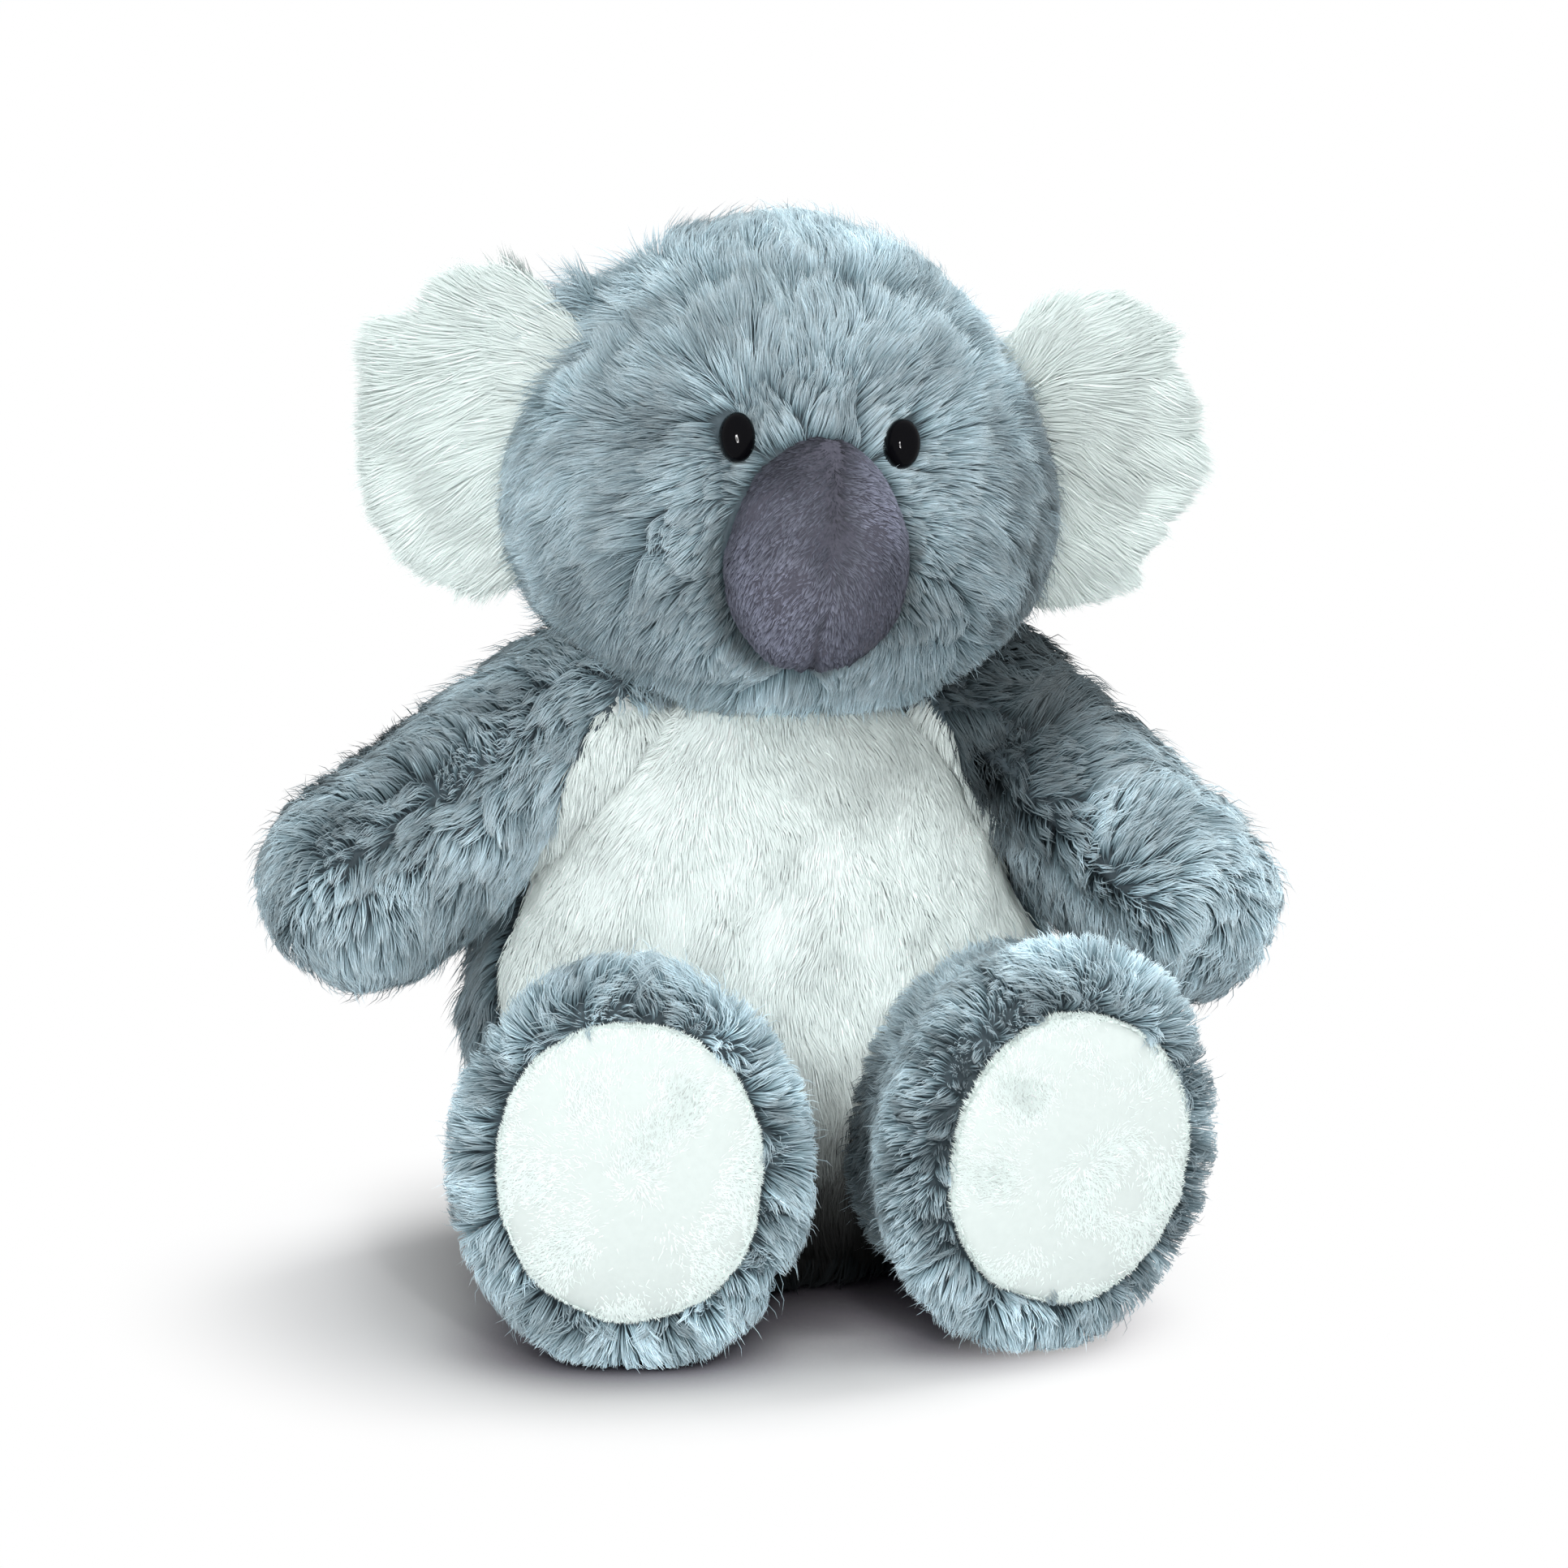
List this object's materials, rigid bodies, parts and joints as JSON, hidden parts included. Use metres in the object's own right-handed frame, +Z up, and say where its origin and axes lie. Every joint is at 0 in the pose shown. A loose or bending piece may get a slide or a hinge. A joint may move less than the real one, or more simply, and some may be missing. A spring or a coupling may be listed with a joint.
{
  "type": "plush koala",
  "caption": "Seated plush koala with grey long-pile fur, white belly and ear fronts, a padded velour nose, glossy eyes and soft jointed head, ears, arms and legs.",
  "frame": {"origin": "on the floor, at the middle of the pressed flat underside of the body", "axes": "+Z up, face towards -Y, +X to the viewer's right"},
  "size_m": [0.1918, 0.1313, 0.2019],
  "materials": {
    "grey_fur": "long-pile plush, blue-grey with pale tips",
    "white_fur": "medium-pile plush, white",
    "sole_velour": "short-pile velour, white",
    "nose_velour": "short-pile velour, mauve grey",
    "eye_plastic": "polished black",
    "washer_plastic": "natural moulded",
    "fibre_fill": "loose polyester fibre",
    "pellet_cloth": "plain woven pouch"
  },
  "bodies": {
    "body": {"body_back_panel": "grey_fur", "belly_panel": "white_fur", "body_filling": "fibre_fill", "pellet_bag": "pellet_cloth"},
    "head": {"head_gusset": "grey_fur", "head_left_panel": "grey_fur", "head_right_panel": "grey_fur", "head_filling": "fibre_fill", "left_eye": "eye_plastic", "left_eye_washer": "washer_plastic", "right_eye": "eye_plastic", "right_eye_washer": "washer_plastic", "nose_cover": "nose_velour", "nose_filling": "fibre_fill"},
    "left_ear": {"left_ear_front": "white_fur", "left_ear_back": "grey_fur"},
    "right_ear": {"right_ear_front": "white_fur", "right_ear_back": "grey_fur"},
    "left_arm": {"left_arm_cover": "grey_fur", "left_arm_filling": "fibre_fill"},
    "right_arm": {"right_arm_cover": "grey_fur", "right_arm_filling": "fibre_fill"},
    "left_leg": {"left_leg_cover": "grey_fur", "left_sole": "sole_velour", "left_leg_filling": "fibre_fill"},
    "right_leg": {"right_leg_cover": "grey_fur", "right_sole": "sole_velour", "right_leg_filling": "fibre_fill"}
  },
  "joints": [
    {"name": "neck_turn", "type": "hinge", "parent": "body", "child": "head", "pos_m": [0.0045, 0, 0.112], "axis": [0, 0, 1], "range_deg": [-20, 20]},
    {"name": "left_ear_fold", "type": "hinge", "parent": "head", "child": "left_ear", "pos_m": [-0.03905, 0.004, 0.16194], "axis": [0.0785, 0, 0.9969], "range_deg": [-12, 20]},
    {"name": "right_ear_fold", "type": "hinge", "parent": "head", "child": "right_ear", "pos_m": [0.04868, 0.004, 0.15504], "axis": [-0.0785, 0, -0.9969], "range_deg": [-12, 20]},
    {"name": "left_shoulder", "type": "hinge", "parent": "body", "child": "left_arm", "pos_m": [-0.034, -0.008, 0.118], "axis": [0, 1, 0], "range_deg": [-2, 18]},
    {"name": "right_shoulder", "type": "hinge", "parent": "body", "child": "right_arm", "pos_m": [0.042, -0.008, 0.117], "axis": [0, -1, 0], "range_deg": [-2, 18]},
    {"name": "left_hip", "type": "hinge", "parent": "body", "child": "left_leg", "pos_m": [-0.028, -0.042, 0.062], "axis": [-1, 0, 0], "range_deg": [0, 25]},
    {"name": "right_hip", "type": "hinge", "parent": "body", "child": "right_leg", "pos_m": [0.034, -0.042, 0.062], "axis": [-1, 0, 0], "range_deg": [0, 25]}
  ]
}
